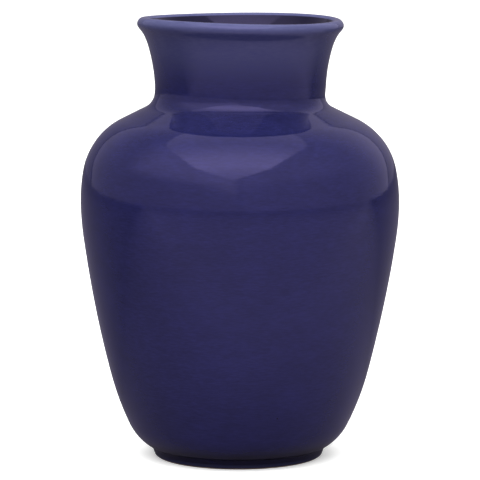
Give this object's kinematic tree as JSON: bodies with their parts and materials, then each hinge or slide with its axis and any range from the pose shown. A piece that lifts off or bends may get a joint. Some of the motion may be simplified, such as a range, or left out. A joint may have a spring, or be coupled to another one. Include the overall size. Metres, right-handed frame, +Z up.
{
  "type": "flower vase",
  "caption": "Round footed flower vase with a full belly, rolled shoulder, waisted neck and flared mouth; blue glaze over a stoneware body.",
  "frame": {"origin": "bottom centre of the foot ring, on the axis of the vase", "axes": "+Z up along the axis of the vase, +X and +Y level; the vase is the same all round, -Y is the side seen from the front"},
  "size_m": [0.2026, 0.2026, 0.28],
  "materials": {
    "bare_clay": "matt, fired stoneware, wiped clean of glaze",
    "blue_glaze": "glossy dark blue glaze",
    "liner_glaze": "glossy dark blue glaze, poured inside"
  },
  "bodies": {
    "root": {"clay_body": "bare_clay", "outer_glaze": "blue_glaze", "liner_glaze": "liner_glaze", "underside_glaze": "blue_glaze"}
  },
  "joints": []
}
